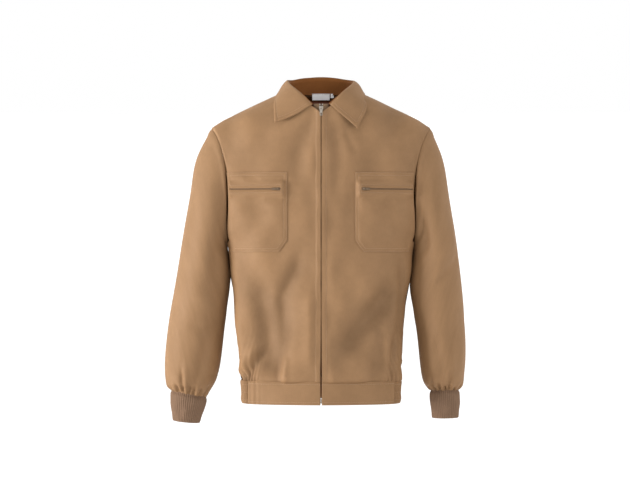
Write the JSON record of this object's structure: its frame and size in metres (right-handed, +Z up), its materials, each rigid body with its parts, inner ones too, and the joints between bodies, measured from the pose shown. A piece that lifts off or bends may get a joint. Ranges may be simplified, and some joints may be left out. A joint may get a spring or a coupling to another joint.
{
  "type": "zip-front work jacket",
  "caption": "Tan drill work jacket with a turn-down collar, full front zip, zipped chest pockets, elastic-sided waistband and rib cuffs, on arms that raise at the shoulder.",
  "frame": {"origin": "the middle of the hanger loop's inner face, inside the back of the neck, where a peg carries the jacket", "axes": "+Z up, the front of the jacket faces -Y, the wearer's right is at -X"},
  "size_m": [0.6462, 0.2348, 0.7456],
  "materials": {
    "drill": "matte",
    "rib_knit": "matte",
    "zip_tape": "matte",
    "neck_tape": "matte",
    "zip_teeth": "satin",
    "zip_metal": "satin",
    "label_tape": "satin",
    "elastic": "matte"
  },
  "bodies": {
    "jacket": {"back_panel": "drill", "collar_stand": "drill", "collar_leaf": "drill", "neck_label": "label_tape", "size_tab": "label_tape", "hanger_loop": "neck_tape", "back_waistband": "drill", "right_front_panel": "drill", "right_front_facing": "drill", "right_waistband": "drill", "right_side_casing": "drill", "right_elastic_band": "elastic", "right_pocket_patch": "drill", "right_pocket_zip_upper_teeth": "zip_teeth", "right_pocket_zip_lower_teeth": "zip_teeth", "right_pocket_zip_upper_tape": "zip_tape", "right_pocket_zip_lower_tape": "zip_tape", "main_zip_right_teeth": "zip_teeth", "main_zip_right_tape": "zip_tape", "main_zip_right_top_stop": "zip_metal", "left_front_panel": "drill", "left_front_facing": "drill", "left_waistband": "drill", "left_side_casing": "drill", "left_elastic_band": "elastic", "left_pocket_patch": "drill", "left_pocket_zip_upper_teeth": "zip_teeth", "left_pocket_zip_lower_teeth": "zip_teeth", "left_pocket_zip_upper_tape": "zip_tape", "left_pocket_zip_lower_tape": "zip_tape", "main_zip_left_teeth": "zip_teeth", "main_zip_left_tape": "zip_tape", "main_zip_left_top_stop": "zip_metal", "main_zip_retainer_box": "zip_metal", "main_zip_insertion_pin": "zip_metal"},
    "right_arm": {"right_sleeve": "drill", "right_cuff": "rib_knit"},
    "left_arm": {"left_sleeve": "drill", "left_cuff": "rib_knit"},
    "main_slider": {"main_zip_slider": "zip_metal"},
    "main_pull": {"main_zip_pull": "zip_metal"},
    "right_pocket_slider": {"right_pocket_zip_slider": "zip_metal"},
    "right_pocket_pull": {"right_pocket_zip_pull": "zip_metal"},
    "left_pocket_slider": {"left_pocket_zip_slider": "zip_metal"},
    "left_pocket_pull": {"left_pocket_zip_pull": "zip_metal"}
  },
  "joints": [
    {"name": "right_sleeve_raise", "type": "hinge", "parent": "jacket", "child": "right_arm", "pos_m": [-0.2392, -0.0495, -0.0535], "axis": [0, 1, 0], "range_deg": [0, 45]},
    {"name": "left_sleeve_raise", "type": "hinge", "parent": "jacket", "child": "left_arm", "pos_m": [0.2392, -0.0495, -0.0535], "axis": [0, -1, 0], "range_deg": [0, 45]},
    {"name": "main_zip_slide", "type": "slide", "parent": "jacket", "child": "main_slider", "axis": [0, -0.0283, -0.9996], "range_m": [0, 0.606]},
    {"name": "main_zip_pull_swing", "type": "hinge", "parent": "main_slider", "child": "main_pull", "pos_m": [0, -0.15636, -0.01903], "axis": [-1, 0, 0], "range_deg": [0, 150]},
    {"name": "right_pocket_zip_slide", "type": "slide", "parent": "jacket", "child": "right_pocket_slider", "axis": [-0.9685, 0.2492, 0], "range_m": [0, 0.098]},
    {"name": "right_pocket_pull_swing", "type": "hinge", "parent": "right_pocket_slider", "child": "right_pocket_pull", "pos_m": [-0.09086, -0.16073, -0.19], "axis": [0, 0, 1], "range_deg": [0, 150]},
    {"name": "left_pocket_zip_slide", "type": "slide", "parent": "jacket", "child": "left_pocket_slider", "axis": [0.9685, 0.2492, 0], "range_m": [0, 0.098]},
    {"name": "left_pocket_pull_swing", "type": "hinge", "parent": "left_pocket_slider", "child": "left_pocket_pull", "pos_m": [0.09086, -0.16073, -0.19], "axis": [0, 0, -1], "range_deg": [0, 150]}
  ]
}
